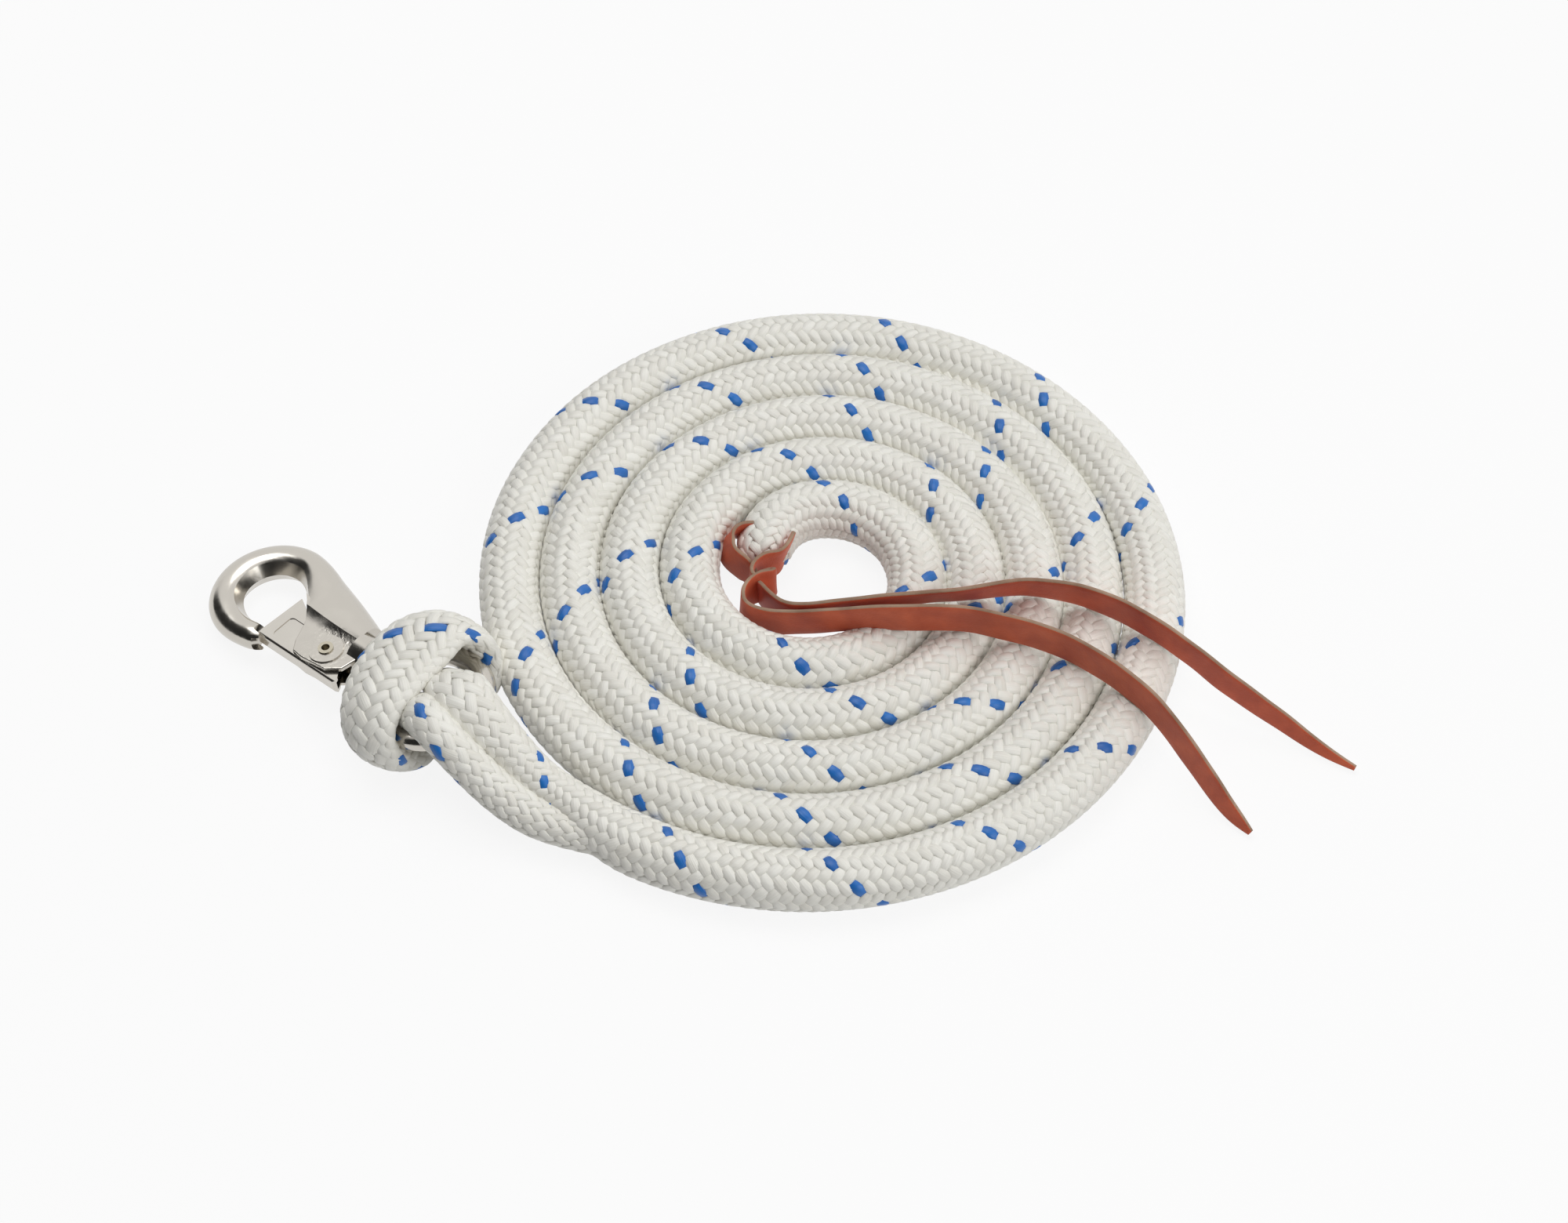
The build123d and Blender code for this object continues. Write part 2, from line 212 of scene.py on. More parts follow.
def group_node(nodes, group):
    node = nodes.new("ShaderNodeGroup")
    node.node_tree = group
    return node


def noise(nodes, links, where, scale, detail):
    node = nodes.new("ShaderNodeTexNoise")
    node.inputs["Scale"].default_value = scale
    node.inputs["Detail"].default_value = detail
    links.new(where, node.inputs["Vector"])
    return node.outputs["Fac"]


def bump(nodes, links, height, strength, distance):
    node = nodes.new("ShaderNodeBump")
    node.inputs["Distance"].default_value = distance
    feed(links, node.inputs["Strength"], strength)
    links.new(height, node.inputs["Height"])
    return node


camera()
studio()
floor()
bpy.context.scene.view_settings.view_transform = "Standard"

# ---------------------------------------------------------------- the rope's route, from the
# popper's end out along the coil, through the throat, round the eye and back into the splice
ROPE_D = 0.019
COIL_R = 0.1155
TURN_PITCH = 0.0191
COIL_START = 225.0
COIL_END = 1905.0
COIL_DRIFT = (0.0014, 0.0039)     # how far the spiral's centre wanders over DRIFT_OVER
DRIFT_OVER = 1710.0
BULGE = (365.0, 28.0, 0.0012)     # where a turn stands out, over how many degrees, how far
POINTS_A_TURN = 24
COIL_W = 0.0198                   # the turns are pressed together
CORE_R = 0.0074
SKIN = 0.0021                     # from the core to the outside of the braid
SAMPLE_STEP = 0.0009
# x, y and z from the coil's centre, width, thickness, and where the thin side faces; in mm
TIP = [
    (-17.6, 5.6, 8.4, 6.0, 6.0, (0, 0, 1)),
    (-17.5, 8.4, 8.8, 16.5, 14.5, (0, 0, 1)),
    (-17.0, 13.0, 9.0, 19.0, 17.5, (0, 0, 1)),
    (-15.4, 18.2, 9.2, 19.5, 19.0, (0, 0, 1)),
    (-12.2, 23.2, 9.5, 19.8, 19.0, (0, 0, 1)),
]
EYE = [
    (-77.9, -86.9, 11.0, 15.0, 16.0, (0, 0, 1)),
    (-84.7, -82.6, 13.5, 14.0, 14.5, (0, 0, 1)),
    (-90.1, -78.6, 17.0, 14.0, 14.0, (0, 0, 1)),
    (-95.2, -74.6, 21.5, 14.5, 13.5, (0, 0, 1)),
    (-100.6, -70.1, 26.0, 16.0, 13.0, (0, 0, 1)),
    (-105.4, -65.8, 29.0, 17.5, 12.5, (0, 0, 1)),
    (-111.0, -58.6, 30.0, 19.5, 11.5, (0, 0, 1)),
    (-115.4, -50.6, 23.0, 19.0, 10.0, (0, 1, 0)),
    (-114.6, -45.3, 12.0, 15.0, 10.0, (0, 1, 0)),
    (-111.9, -43.5, 6.5, 15.0, 9.5, (0, 0, -1)),
    (-108.4, -39.4, 6.0, 16.0, 9.0, (0, 0, -1)),
    (-105.0, -35.6, 9.5, 17.0, 9.0, (0.7, 0.3, -0.7)),
    (-106.6, -32.8, 17.0, 18.0, 9.0, (0.6, 0.8, 0)),
    (-110.0, -31.6, 23.5, 20.0, 9.0, (0.4, 0.7, 0.6)),
    (-115.4, -32.4, 27.5, 21.0, 9.5, (0, 0.5, 0.9)),
    (-121.2, -37.0, 29.0, 25.0, 10.0, (-0.1, 0.2, 1)),
    (-127.0, -43.5, 29.0, 26.5, 10.5, (-0.2, 0, 1)),
    (-132.1, -51.3, 29.0, 26.5, 10.5, (-0.3, -0.1, 1)),
    (-136.0, -58.7, 28.5, 24.0, 10.5, (-0.4, -0.3, 0.9)),
    (-138.6, -66.0, 25.5, 21.0, 10.5, (-0.5, -0.6, 0.6)),
    (-138.4, -71.4, 19.5, 19.0, 10.0, (-0.5, -0.9, 0)),
    (-134.2, -70.7, 11.5, 17.0, 10.0, (-0.3, -0.8, -0.5)),
    (-127.9, -65.7, 6.5, 15.0, 10.0, (0, 0, -1)),
    (-123.6, -62.1, 7.0, 14.5, 10.5, (0.5, 0.5, -0.7)),
    (-123.6, -60.9, 13.0, 14.0, 11.0, (0.7, 0.7, 0)),
    (-124.1, -61.0, 23.4, 14.5, 11.5, (-0.7, 0.7, 0)),
    (-120.4, -69.6, 30.0, 13.5, 12.0, (-0.4, 0.4, 0.8)),
    (-114.0, -76.6, 28.5, 13.0, 12.5, (0, 0, 1)),
    (-108.8, -80.4, 24.5, 13.0, 13.0, (0, 0, 1)),
    (-103.7, -83.8, 20.0, 13.0, 13.0, (0, 0, 1)),
    (-99.0, -86.4, 16.5, 13.5, 13.0, (0, 0, 1)),
    (-94.0, -89.2, 13.5, 13.5, 13.0, (0, 0, 1)),
    (-87.6, -92.5, 11.0, 13.5, 13.0, (0, 0, 1)),
    (-80.5, -95.6, 10.0, 12.5, 12.0, (0, 0, 1)),
    (-73.3, -98.2, 9.5, 11.0, 11.5, (0, 0, 1)),
    (-66.0, -101.0, 9.5, 9.5, 10.5, (0, 0, 1)),
    (-57.0, -104.4, 9.5, 7.5, 9.0, (0, 0, 1)),
    (-47.0, -107.2, 9.5, 5.0, 6.0, (0, 0, 1)),
]


def coil_point(angle):
    """Control point of the rope at this angle of the spiral."""
    share = (angle - COIL_START) / DRIFT_OVER - 0.5
    radius = COIL_R - TURN_PITCH * (angle - COIL_START) / 360
    at, spread, reach = BULGE
    radius += reach * math.exp(-((angle - at) / spread) ** 2)
    # the spline runs a little inside its control points
    radius /= (3 + math.cos(math.radians(360 / POINTS_A_TURN))) / 4
    turn = math.radians(angle)
    x = radius * math.cos(turn) + share * COIL_DRIFT[0]
    y = radius * math.sin(turn) + share * COIL_DRIFT[1]
    return (x, y, ROPE_D / 2)


def in_metres(rows):
    return [(*(v / 1000 for v in row[:5]), row[5]) for row in rows]


def rope_rows():
    """Control points, each with its section's width, thickness and facing."""
    coil = []
    for angle in np.arange(COIL_END, COIL_START, -360 / POINTS_A_TURN):
        coil.append((*coil_point(float(angle)), COIL_W, ROPE_D, (0, 0, 1)))
    return in_metres(TIP) + coil + in_metres(EYE)


def route_curve(rows):
    data = bpy.data.curves.new("rope_core", "CURVE")
    data.dimensions = "3D"
    spline = data.splines.new("NURBS")
    spline.points.add(len(rows) - 1)
    for knot, (x, y, z, wide, thick, _) in zip(spline.points, rows):
        knot.co = (x + COIL_CENTRE[0], y + COIL_CENTRE[1], z, 1)
        knot.radius = (min(wide, thick) / 2 - SKIN) / CORE_R
    spline.order_u = 3
    spline.use_endpoint_u = True
    data.resolution_u = 8
    return put("rope_core", data)


def line_of(obj):
    """Points along a curve's own line, in order."""
    bare = put("bare", obj.data.copy())
    bare.data.bevel_depth = 0
    bpy.context.view_layer.update()
    graph = bpy.context.evaluated_depsgraph_get()
    mesh = bpy.data.meshes.new_from_object(bare.evaluated_get(graph))
    line = np.array([tuple(v.co) for v in mesh.vertices])
    curve = bare.data
    bpy.data.objects.remove(bare)
    bpy.data.curves.remove(curve)
    bpy.data.meshes.remove(mesh)
    return line


def distances(points):
    """How far along the line each point is."""
    return np.r_[0, np.cumsum(np.linalg.norm(np.diff(points, axis=0), axis=1))]


def resampled(columns, run, at):
    return np.stack([np.interp(at, run, column) for column in columns.T], 1)


def smooth(values, passes):
    for _ in range(passes):
        inner = (values[:-2] + 2 * values[1:-1] + values[2:]) / 4
        values = np.concatenate([values[:1], inner, values[-1:]])
    return values


def unit(v):
    return v / np.linalg.norm(v, axis=-1, keepdims=True)


def square_to(v, direction):
    """The part of v that is square to a direction."""
    return v - direction * np.sum(v * direction, 1, keepdims=True)


def carried_frames(points, first_up):
    """Tangent and two cross directions that turn as little as they can along the line."""
    ahead = unit(np.gradient(points, axis=0))
    lift = np.array(first_up, float)
    lifts = []
    for t in ahead:
        lift = lift - t * np.dot(lift, t)
        lift = lift / np.linalg.norm(lift)
        lifts.append(lift)
    lifts = np.array(lifts)
    return ahead, lifts, np.cross(ahead, lifts)


ROWS = rope_rows()
core = route_curve(ROWS)
spine = line_of(core)
run = distances(spine)
along = np.linspace(0, run[-1], int(run[-1] / SAMPLE_STEP) + 1)
centre = smooth(resampled(spine, run, along), 6)
tangent, up, side = carried_frames(centre, (0, 0, 1))

# each row's section holds where the spline's knots put its control point
last = len(ROWS) - 2
knots = np.r_[0, np.arange(last + 1) + 0.5]
knots[-1] = last
share = np.interp(along, run, np.linspace(0, last, len(run)))
sections = np.array([(row[3], row[4], *row[5]) for row in ROWS])
sections = smooth(resampled(sections, knots, share), 12)
half_wide, half_thick = sections[:, 0] / 2, sections[:, 1] / 2
face = unit(square_to(sections[:, 2:], tangent))
face = unit(square_to(unit(smooth(face, 20)), tangent))
flank = np.cross(tangent, face)

# ---------------------------------------------------------------- how the braid lies
CARRIERS = 14                 # strands of each hand, each over two and under two
BRAID_PITCH = 0.0475
STRAND_W = 0.0036
STRAND_T = 0.0015
STRAND_DEPTH = 0.95           # centre below the rope's skin, in strand thicknesses
STRAND_SWING = 0.45           # how far a strand goes up and down from there
STEEP = 2.0                   # how quickly it goes from over to under
RING = 8                      # points round a strand
OVAL = 0.75                   # below 1 the section is squarer than an ellipse
# the rope's own twist: along it in mm, turns of the strands, degrees of the columns they
# float in
TWIST = [
    (0, 0.24, 46), (40, 0.20, 56), (89, 0.155, 66), (141, 0.0, 54), (193, -0.095, 52),
    (252, -0.33, 38), (308, -0.43, 35), (411, -0.70, 26), (468, -0.85, 18), (517, -0.91, 30),
    (577, -1.07, 37), (630, -1.175, 39), (683, -1.285, 44), (722, -1.33, 45),
    (780, -1.45, 50), (834, -1.595, 48), (887, -1.725, 49), (941, -1.815, 65),
    (997, -1.945, 79), (1051, -2.07, 84), (1105, -2.195, 89), (1154, -2.25, 104),
    (1206, -2.40, 111), (1264, -2.52, 122), (1313, -2.68, 129), (1365, -2.855, 128),
    (1422, -3.05, 127), (1477, -3.175, 138), (1537, -3.345, 145), (1596, -3.55, 134),
    (1650, -3.705, 120), (1703, -3.855, 115), (1763, -4.07, 102), (1821, -4.30, 80),
    (1874, -4.36, 73), (1917, -4.41, 69), (1963, -4.395, 69), (2013, -4.385, 88),
    (2061, -4.40, 118), (2110, -4.50, 118), (2130, -4.47, 120), (2205, -5.04, 145),
    (2219, -5.17, 129), (2232, -5.29, 112), (2267, -5.33, 131), (2310, -5.71, 118),
    (2400, -6.35, 118),
]
TWIST_START = 0.0019          # where the table begins on the rope's line

lay = np.array(TWIST)
lay_at = along - TWIST_START
turns = smooth(np.interp(lay_at * 1000, lay[:, 0], lay[:, 1]), 400)
column = np.radians(smooth(np.interp(lay_at * 1000, lay[:, 0], lay[:, 2]), 400))
face_turn = np.unwrap(np.arctan2(np.sum(face * side, 1), np.sum(face * up, 1)))
# strands lie steeper, and so narrower, where the rope is thin
girth = math.pi * (half_wide + half_thick)
stretch = girth / np.hypot(girth, BRAID_PITCH)
stretch /= math.pi * ROPE_D / math.hypot(math.pi * ROPE_D, BRAID_PITCH)
bend = smooth(np.gradient(tangent, along, axis=0), 12)


def strand(hand, number):
    """One strand's centreline, its outward direction, its rise and its width's scale."""
    carried = 2 * math.pi * (lay_at / BRAID_PITCH + turns) - column
    start = 2 * math.pi * number / CARRIERS
    if hand > 0:
        angle = carried + start
    else:
        angle = math.pi / CARRIERS - carried - start
    wave = np.tanh(STEEP * np.sin(CARRIERS / 2 * angle)) / math.tanh(STEEP) * hand
    around = angle + column - face_turn
    c, s = np.cos(around)[:, None], np.sin(around)[:, None]
    wide, thick = half_wide[:, None], half_thick[:, None]
    skin = face * c * thick + flank * s * wide
    out = unit(face * c * wide + flank * s * thick)
    deep = STRAND_T * (STRAND_DEPTH - wave * STRAND_SWING) * stretch
    # the braid opens on the outside of a bend
    opened = np.clip(1 - np.sum(bend * skin, 1), 0.8, 1.7) ** 0.7
    return centre + skin - out * deep[:, None], out, wave, stretch * opened


def squared(wave):
    return np.sign(wave) * np.abs(wave) ** OVAL


def tube_faces(rows, ring):
    """Quads of a tube with this many rows, and points in each."""
    row = np.arange(rows - 1)[:, None] * ring
    here = np.arange(ring)[None, :]
    after = (here + 1) % ring
    quads = np.stack([row + here, row + after, row + after + ring, row + here + ring], 2)
    return quads.reshape(-1, 4)


def tube_uv(at, ring):
    """UV of those quads' corners: metres along, and share of the way round."""
    near = np.repeat(at[:-1, None], ring, 1)
    far = np.repeat(at[1:, None], ring, 1)
    left = np.tile(np.arange(ring) / ring, (len(at) - 1, 1))
    right = left + 1 / ring
    corners = ((near, left), (near, right), (far, right), (far, left))
    return np.stack([np.stack(corner, 2) for corner in corners], 2).reshape(-1, 2)


def strand_points(hand, number):
    """Rows of points of a flat oval section that follows one strand and swells with it."""
    line, out, wave, scale = strand(hand, number)
    ahead = unit(np.gradient(line, axis=0))
    out = unit(square_to(out, ahead))
    across = np.cross(ahead, out)
    uneven = 0.05 * np.sin(along * 458 + number * 2.4 + hand)
    uneven += 0.04 * np.sin(along * 201 + number * 5.1 - hand)
    wide = STRAND_W / 2 * scale * (0.92 + 0.10 * wave + uneven)
    thick = STRAND_T / 2 * stretch
    turn = np.linspace(0, 2 * math.pi, RING, endpoint=False)
    flat = (wide[:, None] * squared(np.cos(turn)))[:, :, None]
    high = (thick[:, None] * squared(np.sin(turn)))[:, :, None]
    return line[:, None, :] + across[:, None, :] * flat + out[:, None, :] * high


def strands_mesh(name, bundle, material):
    """Several strands as one mesh, each with its own place in the UV map."""
    quads, uv = tube_faces(len(along), RING), tube_uv(along, RING)
    verts, faces, uvs = [], [], []
    for place, (hand, number) in enumerate(bundle):
        verts.append(strand_points(hand, number).reshape(-1, 3))
        faces.append(quads + place * len(along) * RING)
        uvs.append(uv + np.array([number * 7.0 + (hand > 0) * 3.0, 0]))
    verts, faces, uvs = np.concatenate(verts), np.concatenate(faces), np.concatenate(uvs)
    mesh = bpy.data.meshes.new(name)
    mesh.vertices.add(len(verts))
    mesh.vertices.foreach_set("co", verts.ravel())
    mesh.loops.add(faces.size)
    mesh.loops.foreach_set("vertex_index", faces.ravel().astype(np.int32))
    mesh.polygons.add(len(faces))
    mesh.polygons.foreach_set("loop_start", np.arange(0, faces.size, 4, dtype=np.int32))
    layer = mesh.uv_layers.new(name="strand")
    layer.data.foreach_set("uv", uvs.ravel())
    mesh.polygons.foreach_set("use_smooth", np.ones(len(faces), dtype=bool))
    mesh.update(calc_edges=True)
    mesh.validate()
    mesh.materials.append(material)
    return put(name, mesh)


# ---------------------------------------------------------------- the rope's finishes
def yarn_group():
    """Filaments along a strand, from its own UV: a colour and a height."""
    group, nodes, links, entry, leave = new_group(
        "filaments", {"Light": "Color", "Dark": "Color"},
        {"Colour": "Color", "Height": "Float"})
    uv = nodes.new("ShaderNodeUVMap")
    uv.uv_map = "strand"
    drawn = []
    for scale in ((120, 34, 1), (60, 1.5, 1)):
        node = nodes.new("ShaderNodeMapping")
        node.inputs["Scale"].default_value = scale
        links.new(uv.outputs[0], node.inputs[0])
        drawn.append(node.outputs[0])
    fine = noise(nodes, links, drawn[0], 1.0, 3)
    broad = noise(nodes, links, drawn[1], 1.0, 2)
    tone = nodes.new("ShaderNodeMix")
    tone.data_type = "RGBA"
    both = math_node(nodes, links, "MULTIPLY_ADD", fine, 0.6, broad)
    links.new(both, tone.inputs["Factor"])
    links.new(entry["Dark"], tone.inputs["A"])
    links.new(entry["Light"], tone.inputs["B"])
    links.new(tone.outputs["Result"], leave["Colour"])
    links.new(fine, leave["Height"])
    return group


FILAMENTS = yarn_group()


def yarn(name, light, dark, rough, sheen):
    material, nodes, links, shader = new_material(name, {
        "Roughness": rough, "Specular IOR Level": 0.5,
        "Sheen Weight": sheen, "Sheen Roughness": 0.4})
    thread = group_node(nodes, FILAMENTS)
    thread.inputs["Light"].default_value = (*light, 1)
    thread.inputs["Dark"].default_value = (*dark, 1)
    raised = bump(nodes, links, thread.outputs["Height"], 0.5, 0.0003)
    links.new(thread.outputs["Colour"], shader.inputs["Base Color"])
    links.new(raised.outputs[0], shader.inputs["Normal"])
    return material


white_yarn = yarn("white polyester", (0.90, 0.89, 0.83), (0.66, 0.63, 0.55), 0.45, 0.2)
blue_yarn = yarn("blue polyester", (0.012, 0.17, 0.56), (0.004, 0.035, 0.22), 0.36, 0.1)

# ---------------------------------------------------------------- the rope
MARKER = (1, 0)               # hand and number of the one blue strand
STRANDS_A_PIECE = 3

core.data.bevel_depth = CORE_R
core.data.bevel_resolution = 3
core.data.use_fill_caps = True
core.data.materials.append(white_yarn)
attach(core, "rope")
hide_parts("rope_coil", "rope_far_leg", "rope_bight", "rope_near_leg")

white = [(hand, number) for hand in (1, -1) for number in range(CARRIERS)]
white.remove(MARKER)
strands = []
for first in range(0, len(white), STRANDS_A_PIECE):
    name = "rope_strands_%d" % (first // STRANDS_A_PIECE + 1)
    strands.append(strands_mesh(name, white[first:first + STRANDS_A_PIECE], white_yarn))
strands.append(strands_mesh("rope_marker_strand", [MARKER], blue_yarn))
for piece in strands:
    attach(piece, "rope")

# ---------------------------------------------------------------- the popper
STRAP_T = 0.0015
STRAP_ROUND = 0.0005          # radius of the cut corners
STRAP_STEP = 0.0007
STRAP_SPANS = 6               # quads across the broad side
# top edge and bottom edge of each strap, from the rope's end to the tip, in mm from the
# coil's centre
OUTER = [
    ((-7.0, 15.5, 15.5), (-10.0, 12.0, 6.0)), ((-8.4, 10.5, 17.0), (-11.6, 8.0, 7.0)),
    ((-10.4, 7.0, 17.4), (-13.2, 5.4, 5.5)), ((-13.8, 6.1, 17.4), (-15.2, 4.4, 4.6)),
    ((-16.6, 5.2, 17.2), (-17.2, 3.6, 4.4)), ((-19.4, 2.9, 17.0), (-19.6, 1.8, 4.0)),
    ((-21.3, -0.3, 17.0), (-21.4, -0.6, 4.0)), ((-21.2, -2.8, 16.4), (-21.3, -2.4, 4.0)),
    ((-19.4, -2.4, 15.4), (-19.6, -2.0, 4.0)), ((-17.2, -0.2, 14.8), (-17.4, -0.4, 4.0)),
    ((-14.6, 0.8, 14.4), (-14.6, 0.0, 4.4)), ((-12.8, 0.2, 15.0), (-12.6, -2.0, 5.0)),
    ((-13.7, -0.9, 16.0), (-13.4, -4.6, 5.6)), ((-16.0, -1.0, 16.2), (-16.2, -5.4, 5.0)),
    ((-18.4, -1.8, 16.2), (-19.0, -5.4, 4.4)), ((-21.3, -4.5, 16.2), (-22.0, -7.0, 4.0)),
    ((-23.3, -8.0, 16.2), (-24.4, -9.8, 3.8)), ((-23.9, -10.8, 16.4), (-24.6, -12.0, 3.8)),
    ((-23.4, -13.6, 16.6), (-23.4, -14.2, 3.9)), ((-21.0, -16.2, 17.0), (-20.6, -16.2, 4.2)),
    ((-15.4, -18.6, 18.0), (-15.4, -18.4, 5.0)), ((-9.8, -20.6, 20.0), (-9.6, -19.8, 7.0)),
    ((-1.5, -22.6, 23.0), (-1.0, -21.6, 10.0)), ((6.7, -24.4, 26.0), (7.0, -23.4, 13.2)),
    ((14.9, -25.9, 29.0), (15.4, -25.0, 16.2)), ((23.0, -27.0, 31.2), (23.2, -26.6, 18.4)),
    ((31.3, -27.8, 32.4), (31.7, -27.7, 19.5)), ((46.0, -28.6, 32.6), (46.5, -28.2, 19.6)),
    ((59.0, -31.6, 32.6), (59.0, -31.4, 19.6)), ((72.0, -36.4, 32.6), (72.0, -36.2, 19.6)),
    ((84.0, -43.2, 32.4), (84.0, -43.2, 19.6)), ((95.0, -52.0, 31.8), (95.0, -52.4, 19.4)),
    ((105.5, -61.8, 29.0), (105.4, -62.6, 16.6)), ((115.0, -72.0, 22.5), (114.0, -73.4, 11.0)),
    ((123.2, -81.0, 14.0), (122.0, -82.8, 4.6)), ((129.6, -88.0, 7.4), (128.4, -89.4, 1.6)),
    ((134.0, -92.6, 3.0), (133.2, -93.2, 1.2)),
]
INNER = [
    ((-17.0, 18.5, 15.5), (-21.0, 17.5, 6.5)), ((-20.0, 17.6, 17.0), (-26.0, 17.6, 8.4)),
    ((-23.0, 17.2, 17.6), (-30.2, 17.0, 8.6)), ((-25.6, 15.8, 17.4), (-31.8, 14.8, 7.8)),
    ((-27.1, 12.3, 17.0), (-31.5, 12.0, 6.0)), ((-26.6, 7.9, 17.0), (-29.8, 9.0, 5.0)),
    ((-24.5, 4.9, 17.0), (-26.3, 5.6, 4.2)), ((-21.6, 3.0, 16.4), (-22.9, 2.6, 4.0)),
    ((-19.8, 0.8, 13.0), (-20.8, 0.2, 3.8)), ((-18.6, -3.0, 12.4), (-19.4, -2.8, 3.6)),
    ((-17.4, -6.4, 15.0), (-17.8, -6.0, 3.8)), ((-16.0, -9.4, 17.0), (-16.4, -9.0, 4.2)),
    ((-13.7, -12.6, 18.0), (-14.0, -12.0, 5.2)), ((-11.3, -15.4, 19.0), (-11.4, -14.6, 6.2)),
    ((-8.1, -17.8, 20.4), (-8.0, -16.6, 7.8)), ((-2.4, -19.6, 22.8), (-2.0, -18.2, 10.4)),
    ((5.6, -21.2, 26.4), (6.2, -19.2, 14.2)), ((14.4, -22.4, 29.6), (15.2, -19.4, 17.2)),
    ((24.4, -22.8, 31.4), (25.4, -18.4, 19.3)), ((35.0, -22.0, 31.6), (36.0, -16.6, 19.8)),
    ((49.6, -20.2, 32.0), (50.4, -15.4, 19.8)), ((64.6, -17.6, 32.3), (65.2, -13.9, 19.8)),
    ((79.6, -19.2, 32.6), (80.0, -16.6, 19.8)), ((94.6, -25.4, 32.6), (95.0, -24.0, 19.8)),
    ((107.0, -33.4, 31.8), (107.2, -32.6, 19.6)), ((117.0, -39.4, 28.0), (117.0, -39.2, 16.4)),
    ((126.6, -44.8, 23.0), (126.0, -45.2, 12.2)), ((137.4, -50.2, 17.0), (136.4, -51.0, 7.8)),
    ((148.6, -56.2, 11.0), (147.4, -57.2, 4.0)), ((159.4, -63.0, 6.0), (158.4, -64.0, 1.8)),
    ((168.6, -68.6, 2.8), (168.0, -69.0, 1.2)),
]


def through(points, run, at):
    """Smooth curve through the points, at the given places along them."""
    lean = np.gradient(points, run, axis=0)
    i = np.clip(np.searchsorted(run, at, "right") - 1, 0, len(run) - 2)
    step = (run[i + 1] - run[i])[:, None]
    u = (at - run[i])[:, None] / step
    first = (2 * u ** 3 - 3 * u ** 2 + 1) * points[i] + (u ** 3 - 2 * u ** 2 + u) * step * lean[i]
    last = (3 * u ** 2 - 2 * u ** 3) * points[i + 1] + (u ** 3 - u ** 2) * step * lean[i + 1]
    return first + last


def strap_corners():
    """Points round the section: across, up or down, and how far in from the edge."""
    half, r = STRAP_T / 2, STRAP_ROUND
    points = []
    for across, level in ((1, 1), (1, -1), (-1, -1), (-1, 1)):
        corner = [(half, r), (half - r * 0.3, r * 0.3), (half - r, 0)]
        if across * level > 0:
            corner.reverse()
        points += [(across * w, level, inset) for w, inset in corner]
    return points


def strap_lines(rows):
    """Along the strip: distance, middle, the way up, the way out and half the height."""
    edges = np.array(rows).reshape(len(rows), 6) / 1000
    edges[:, [0, 3]] += COIL_CENTRE[0]
    edges[:, [1, 4]] += COIL_CENTRE[1]
    run = distances((edges[:, :3] + edges[:, 3:]) / 2)
    at = np.linspace(0, run[-1], int(run[-1] / STRAP_STEP) + 1)
    edges = smooth(through(edges, run, at), 16)
    middle = (edges[:, :3] + edges[:, 3:]) / 2
    ahead = unit(np.gradient(middle, axis=0))
    rise = square_to(edges[:, :3] - edges[:, 3:], ahead)
    tall = np.linalg.norm(rise, axis=1) / 2
    rise = unit(rise)
    return at, middle, rise, np.cross(ahead, rise), tall


def strap_points(at, middle, rise, out, tall):
    """Rows of points round the strip, and how far each stands up and out of its middle."""
    wobble = (0.00008 * np.sin(at * 190) + 0.00005 * np.sin(at * 410 + 1.3))[:, None]
    corners = strap_corners()
    ring = []
    for w, level, inset in corners:
        reach = (level * (tall - inset))[:, None]
        ring.append(middle + out * (w + wobble) + rise * reach)
    points = []
    for i, here in enumerate(ring):
        after = (i + 1) % len(ring)
        points.append(here)
        if corners[i][1] != corners[after][1]:
            for k in range(1, STRAP_SPANS):
                points.append(here + (ring[after] - here) * k / STRAP_SPANS)
    points = np.stack(points, 1)
    height = np.sum((points - middle[:, None]) * rise[:, None], 2)
    depth = np.abs(np.sum((points - middle[:, None]) * out[:, None], 2) - wobble)
    return points, height, depth


def strap(name, rows, finishes):
    """Leather strip between two edges: rounded cut sides, closed ends, a UV along it."""
    at, middle, rise, out, tall = strap_lines(rows)
    points, height, depth = strap_points(at, middle, rise, out, tall)
    count, ring = points.shape[:2]
    bm = bmesh.new()
    verts = [bm.verts.new(v) for v in points.reshape(-1, 3)]
    layer = bm.loops.layers.uv.new("strap")
    for quad in tube_faces(count, ring):
        patch = bm.faces.new([verts[i] for i in quad])
        patch.smooth = True
        places = [divmod(int(i), ring) for i in quad]
        for corner, (row, col) in zip(patch.loops, places):
            corner[layer].uv = (at[row], height[row, col])
        mean = np.mean([depth[place] for place in places])
        patch.material_index = int(mean < STRAP_T / 2 - STRAP_ROUND * 0.2)
    for lid in (verts[:ring], verts[:-ring - 1:-1]):
        bm.faces.new(lid).material_index = 1
    bmesh.ops.recalc_face_normals(bm, faces=bm.faces)
    mesh = bpy.data.meshes.new(name)
    bm.to_mesh(mesh)
    bm.free()
    for finish in finishes:
        mesh.materials.append(finish)
    obj = put(name, mesh)
    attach(obj, "rope")
    return obj


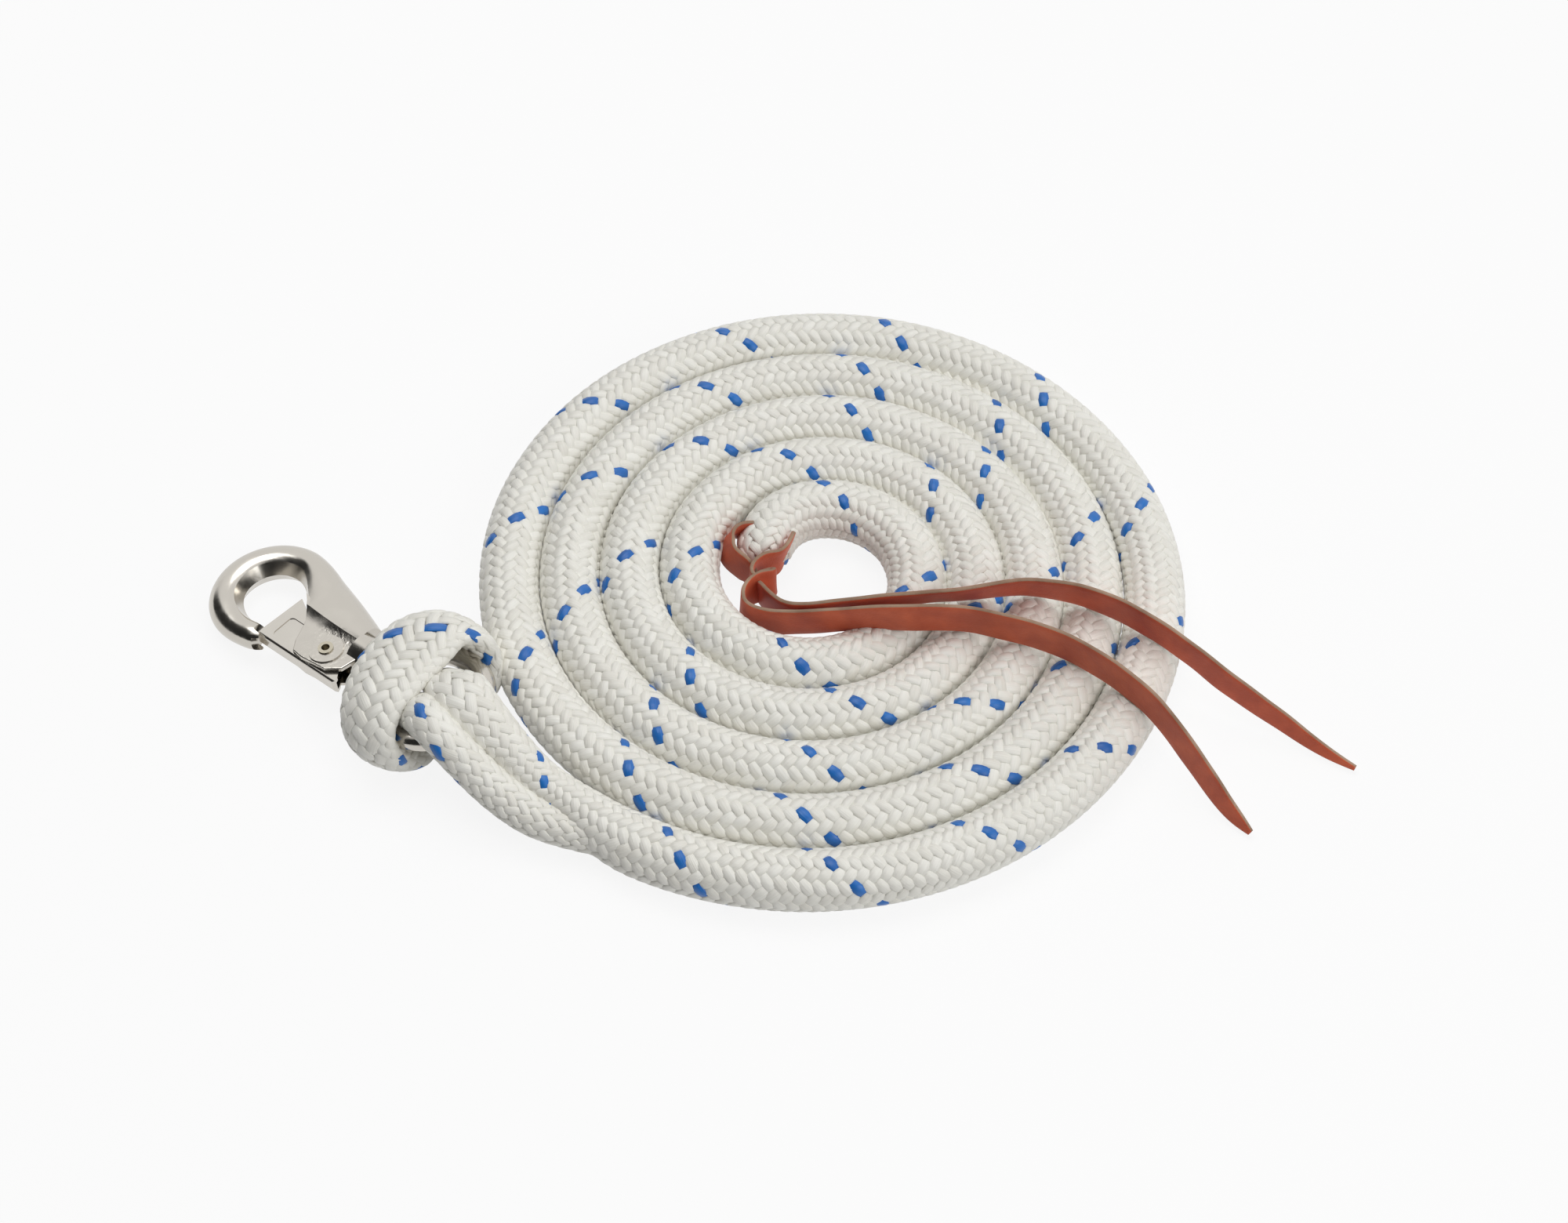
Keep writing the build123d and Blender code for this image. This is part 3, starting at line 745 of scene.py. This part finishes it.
def leather_group():
    """Pores, fibres and mottling of oiled leather: a shade and a height."""
    group, nodes, links, _, leave = new_group(
        "leather grain", {}, {"Shade": "Float", "Height": "Float"})
    place = nodes.new("ShaderNodeTexCoord").outputs["Object"]
    pores = nodes.new("ShaderNodeTexVoronoi")
    pores.inputs["Scale"].default_value = 1500
    links.new(place, pores.inputs["Vector"])
    fibre = noise(nodes, links, place, 900, 4)
    both = math_node(nodes, links, "MULTIPLY_ADD", pores.outputs["Distance"], 0.5, fibre)
    links.new(noise(nodes, links, place, 90, 6), leave["Shade"])
    links.new(both, leave["Height"])
    return group


GRAIN = leather_group()


def leather(name, light, dark, rough, bumpy):
    material, nodes, links, shader = new_material(name, {
        "Roughness": rough, "Specular IOR Level": 0.35, "Sheen Weight": 0.08})
    grain = group_node(nodes, GRAIN)
    tone = nodes.new("ShaderNodeValToRGB")
    for end, place, colour in zip(tone.color_ramp.elements, (0.34, 0.68), (dark, light)):
        end.position = place
        end.color = (*colour, 1)
    raised = bump(nodes, links, grain.outputs["Height"], bumpy, 0.0002)
    links.new(grain.outputs["Shade"], tone.inputs[0])
    links.new(tone.outputs[0], shader.inputs["Base Color"])
    links.new(raised.outputs[0], shader.inputs["Normal"])
    return material


hide = leather("oiled leather", (0.66, 0.130, 0.053), (0.48, 0.085, 0.036), 0.5, 0.35)
raw = leather("cut leather edge", (0.44, 0.30, 0.21), (0.27, 0.17, 0.11), 0.8, 0.6)
front = strap("popper_front_strap", OUTER, (hide, raw))
strap("popper_back_strap", INNER, (hide, raw))
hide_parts("popper_strap")

# ---------------------------------------------------------------- the snap
BOSS = (-0.1412, -0.0291, 0.0150)
BOSS_EDGE = (0.0105, 0.0085)      # distances over which the polish ends at the boss


def metal_group():
    """Satin of a polished casting: faint dents, pits and a haze."""
    group, nodes, links, _, leave = new_group(
        "plated casting", {}, {"Haze": "Float", "Height": "Float"})
    place = nodes.new("ShaderNodeTexCoord").outputs["Object"]
    dents = noise(nodes, links, place, 160, 2)
    pits = noise(nodes, links, place, 1400, 3)
    links.new(map_range(nodes, links, dents, (0.35, 0.7)), leave["Haze"])
    links.new(math_node(nodes, links, "MULTIPLY_ADD", pits, 0.25, dents), leave["Height"])
    return group


CASTING = metal_group()


def as_cast(nodes, links):
    """Bump of the boss round the rivet, which isn't polished."""
    place = nodes.new("ShaderNodeTexCoord").outputs["Object"]
    away = nodes.new("ShaderNodeVectorMath")
    away.operation = "DISTANCE"
    away.inputs[1].default_value = BOSS
    links.new(place, away.inputs[0])
    near = map_range(nodes, links, away.outputs["Value"], BOSS_EDGE)
    return bump(nodes, links, noise(nodes, links, place, 620, 4), near, 0.00016)


def metal(name, tint, smooth_at, rough_at, bumpy, boss=False):
    material, nodes, links, shader = new_material(name, {
        "Metallic": 1.0, "Base Color": (*tint, 1)})
    cast = group_node(nodes, CASTING)
    rough = map_range(nodes, links, cast.outputs["Haze"], (0.0, 1.0), (smooth_at, rough_at))
    links.new(rough, shader.inputs["Roughness"])
    raised = bump(nodes, links, cast.outputs["Height"], bumpy, 0.0002)
    if boss:
        lumps = as_cast(nodes, links)
        links.new(raised.outputs[0], lumps.inputs["Normal"])
        raised = lumps
    links.new(raised.outputs[0], shader.inputs["Normal"])
    return material


def twisting_spring(name, finish):
    """The gate's spring: a smooth copy of its part's mesh, with the part itself hidden."""
    bm = bmesh.new()
    bm.from_mesh(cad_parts["gate_spring"].data)
    bmesh.ops.remove_doubles(bm, verts=bm.verts, dist=1e-6)
    for patch in bm.faces:
        patch.smooth = True
    mesh = bpy.data.meshes.new(name)
    bm.to_mesh(mesh)
    bm.free()
    mesh.materials.append(finish)
    obj = put(name, mesh)
    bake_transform(obj)
    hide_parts("gate_spring")


nickel = metal("satin nickel", (0.57, 0.54, 0.49), 0.15, 0.27, 0.08, boss=True)
plate_nickel = metal("nickel plated sheet", (0.60, 0.57, 0.52), 0.16, 0.26, 0.05)
worn = metal("worn rivet", (0.50, 0.46, 0.37), 0.25, 0.4, 0.12)
wire = metal("spring wire", (0.30, 0.29, 0.28), 0.25, 0.45, 0.10)
for node, finish in (("snap_body", nickel), ("swivel_eye", nickel),
                     ("gate_lever", plate_nickel), ("gate_rivet", worn),
                     ("gate_spring", wire)):
    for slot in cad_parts[node].material_slots:
        slot.material = finish
twisting_spring("gate_torsion_spring", wire)
